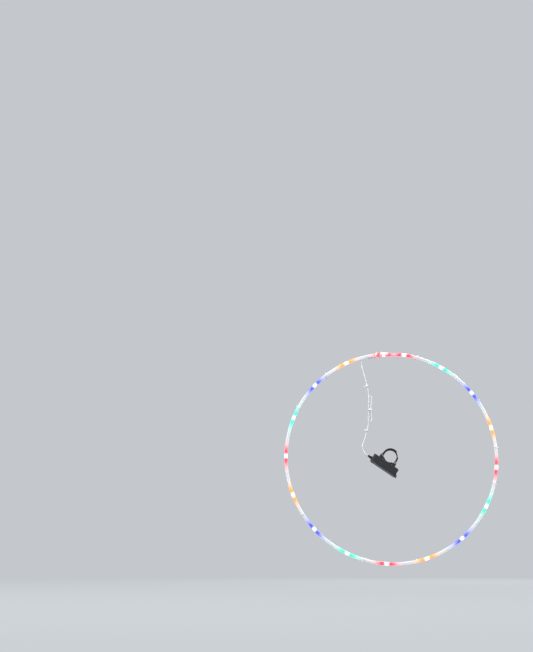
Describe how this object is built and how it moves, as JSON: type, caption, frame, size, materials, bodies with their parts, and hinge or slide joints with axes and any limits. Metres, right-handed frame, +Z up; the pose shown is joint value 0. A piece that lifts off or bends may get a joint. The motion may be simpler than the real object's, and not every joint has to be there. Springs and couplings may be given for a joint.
{
  "type": "spoke wheel light",
  "caption": "Ring of coloured lamps in a clear tube, tied inside a spoked wheel's rim, with a lead to a battery pack strapped to the hub.",
  "frame": {"origin": "centre of the wheel on the hub's axis, in the plane of the lamp ring", "axes": "+Y along the hub's axis away from the near side, +Z up, +X to the right as seen from the near side"},
  "size_m": [0.5436, 0.05, 0.5438],
  "materials": {
    "clear_pvc": "clear flexible tube, glossy",
    "wire_grey": "thin wire insulation, satin",
    "lamp_red": "lit lamp bead, clear resin",
    "lamp_green": "lit lamp bead, clear resin",
    "lamp_blue": "lit lamp bead, clear resin",
    "lamp_orange": "lit lamp bead, clear resin",
    "sleeve_pvc": "translucent moulded sleeve",
    "tie_nylon": "natural nylon",
    "lead_jacket": "pale cable jacket",
    "pack_abs": "moulded ABS, fine spark texture",
    "latch_abs": "moulded ABS, satin",
    "button_rubber": "moulded rubber",
    "pad_rubber": "soft rubber",
    "strap_fabric": "woven hook and loop strap",
    "steel": "zinc plated",
    "nickel": "nickel plated spring steel",
    "board_green": "solder mask",
    "component_black": "moulded epoxy",
    "switch_grey": "satin",
    "cell_wrap": "plain shrink wrap"
  },
  "bodies": {
    "root": {"light_tube": "clear_pvc", "lamp_wires": "wire_grey", "lamps_red": "lamp_red", "lamps_green": "lamp_green", "lamps_blue": "lamp_blue", "lamps_orange": "lamp_orange", "end_plug": "sleeve_pvc", "inlet_cap": "sleeve_pvc", "spoke_ties": "tie_nylon", "lead_ties": "tie_nylon", "lead_cable": "lead_jacket", "pack_base": "pack_abs", "pack_lid": "pack_abs", "lead_gland": "button_rubber", "hub_pad": "pad_rubber", "cover_gasket": "pad_rubber", "hub_strap": "strap_fabric", "hinge_pin": "steel", "lid_screws": "steel", "contact_springs": "nickel", "contact_plates": "nickel", "circuit_board": "board_green", "switch_body": "component_black", "board_parts": "component_black", "battery_1": "cell_wrap", "battery_2": "cell_wrap", "battery_3": "cell_wrap"},
    "cover": {"battery_cover": "pack_abs"},
    "latch": {"cover_latch": "latch_abs"},
    "button": {"power_button": "button_rubber", "switch_plunger": "switch_grey"}
  },
  "joints": [
    {"name": "cover_hinge", "type": "hinge", "parent": "root", "child": "cover", "pos_m": [0.01165, 0, -0.05119], "axis": [0, -1, 0], "range_deg": [0, 150]},
    {"name": "latch_slide", "type": "slide", "parent": "root", "child": "latch", "axis": [-0.8192, 0, 0.5736], "range_m": [0, 0.0022]},
    {"name": "button_press", "type": "slide", "parent": "root", "child": "button", "axis": [0.5736, 0, 0.8192], "range_m": [0, 0.0008], "stiffness_N_per_m": 900}
  ]
}
